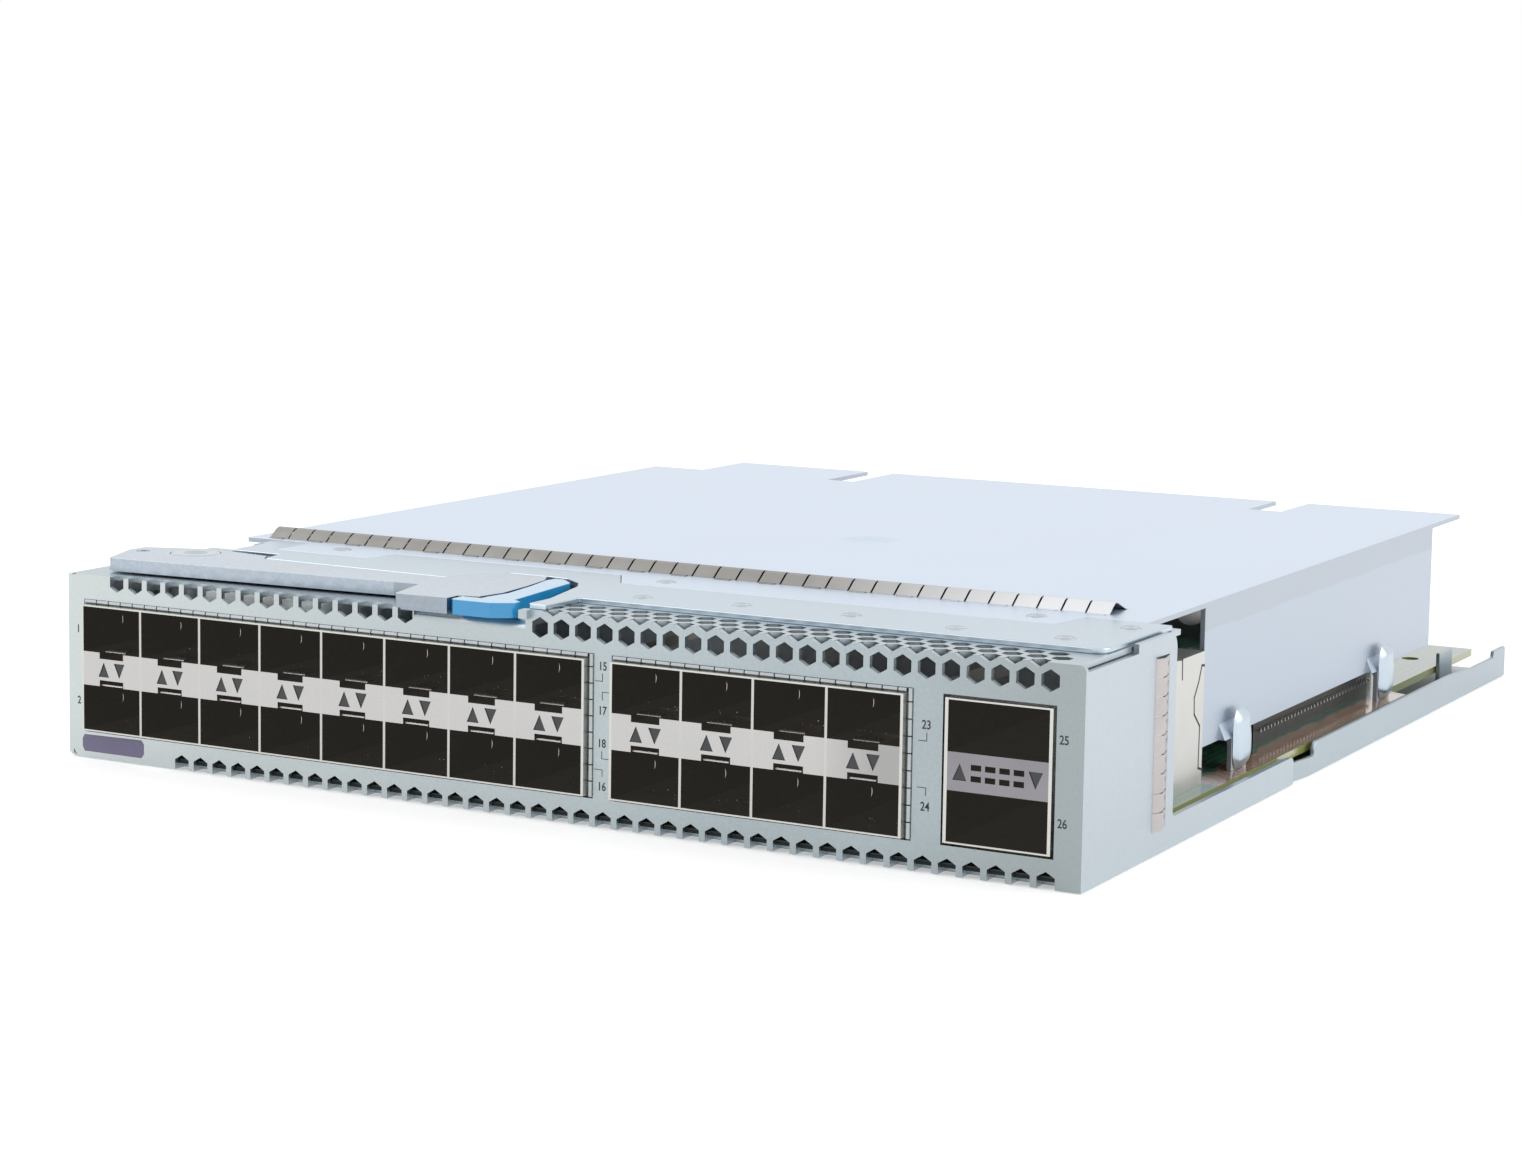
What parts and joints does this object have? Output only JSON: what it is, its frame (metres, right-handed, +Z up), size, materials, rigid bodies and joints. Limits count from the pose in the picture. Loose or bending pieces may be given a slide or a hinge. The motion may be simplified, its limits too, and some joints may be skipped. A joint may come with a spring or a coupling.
{
  "type": "switch line card",
  "caption": "Slide-in interface module for a modular network switch: folded steel face with stacked plug-in port cages, EMI fingers, board tray and a swinging ejector lever with a latch.",
  "frame": {"origin": "under the middle of the whole card, on the plane of the tray's underside", "axes": "+X to the right along the face, +Y from the face to the rear connectors, +Z up"},
  "size_m": [0.2158, 0.2552, 0.041],
  "materials": {
    "zinc_steel": "satin galvanised sheet",
    "bar_steel": "plated steel bar",
    "cage_nickel": "warm nickel-plated sheet",
    "spring_nickel": "spring strip",
    "blue_plastic": "mid-blue moulding",
    "board_green": "green solder mask",
    "black_plastic": "black moulding",
    "smoke_plastic": "dark light-pipe ends",
    "heat_sink_alu": "bare fins",
    "cast_guide": "die cast"
  },
  "bodies": {
    "chassis": {"backplane_connector_left": "black_plastic", "backplane_connector_middle": "black_plastic", "backplane_connector_right": "black_plastic", "bands_left": "cage_nickel", "bands_right": "cage_nickel", "base_tray": "zinc_steel", "board_nuts": "bar_steel", "board_standoffs": "bar_steel", "capacitors": "heat_sink_alu", "circuit_board": "board_green", "cover_emi_strip": "spring_nickel", "cover_rivets": "bar_steel", "dividers_left": "cage_nickel", "dividers_right": "cage_nickel", "face_plate": "zinc_steel", "guide_block_left": "cast_guide", "guide_block_right": "cast_guide", "inductors": "black_plastic", "lever_pivot": "bar_steel", "lever_plate": "zinc_steel", "light_pipes_left": "smoke_plastic", "light_pipes_right": "smoke_plastic", "phy_chip_left": "black_plastic", "phy_chip_right": "black_plastic", "phy_heat_sink_left": "heat_sink_alu", "phy_heat_sink_right": "heat_sink_alu", "plate_rivets": "bar_steel", "port_gasket_left": "spring_nickel", "port_gasket_right": "spring_nickel", "qsfp_band": "cage_nickel", "qsfp_cage": "cage_nickel", "qsfp_connector": "black_plastic", "qsfp_light_pipes": "smoke_plastic", "sfp_cage_left": "cage_nickel", "sfp_cage_right": "cage_nickel", "sfp_connector_01": "black_plastic", "sfp_connector_02": "black_plastic", "sfp_connector_03": "black_plastic", "sfp_connector_04": "black_plastic", "sfp_connector_05": "black_plastic", "sfp_connector_06": "black_plastic", "sfp_connector_07": "black_plastic", "sfp_connector_08": "black_plastic", "sfp_connector_09": "black_plastic", "sfp_connector_10": "black_plastic", "sfp_connector_11": "black_plastic", "sfp_connector_12": "black_plastic", "side_emi_strip_left": "spring_nickel", "side_emi_strip_right": "spring_nickel", "side_header": "black_plastic", "switch_chip": "black_plastic", "switch_heat_sink": "heat_sink_alu", "top_cover": "zinc_steel"},
    "lever": {"ejector_lever": "bar_steel", "stop_pin": "bar_steel", "latch_pin": "bar_steel"},
    "latch": {"latch": "blue_plastic"}
  },
  "joints": [
    {"name": "lever_swing", "type": "hinge", "parent": "chassis", "child": "lever", "pos_m": [-0.0912, -0.10505, 0.0374], "axis": [0, 0, 1], "range_deg": [-65, 0]},
    {"name": "latch_press", "type": "hinge", "parent": "lever", "child": "latch", "pos_m": [-0.0116, -0.09805, 0.0377], "axis": [0, 0, -1], "range_deg": [0, 2.1], "stiffness_Nm_per_rad": 3}
  ]
}
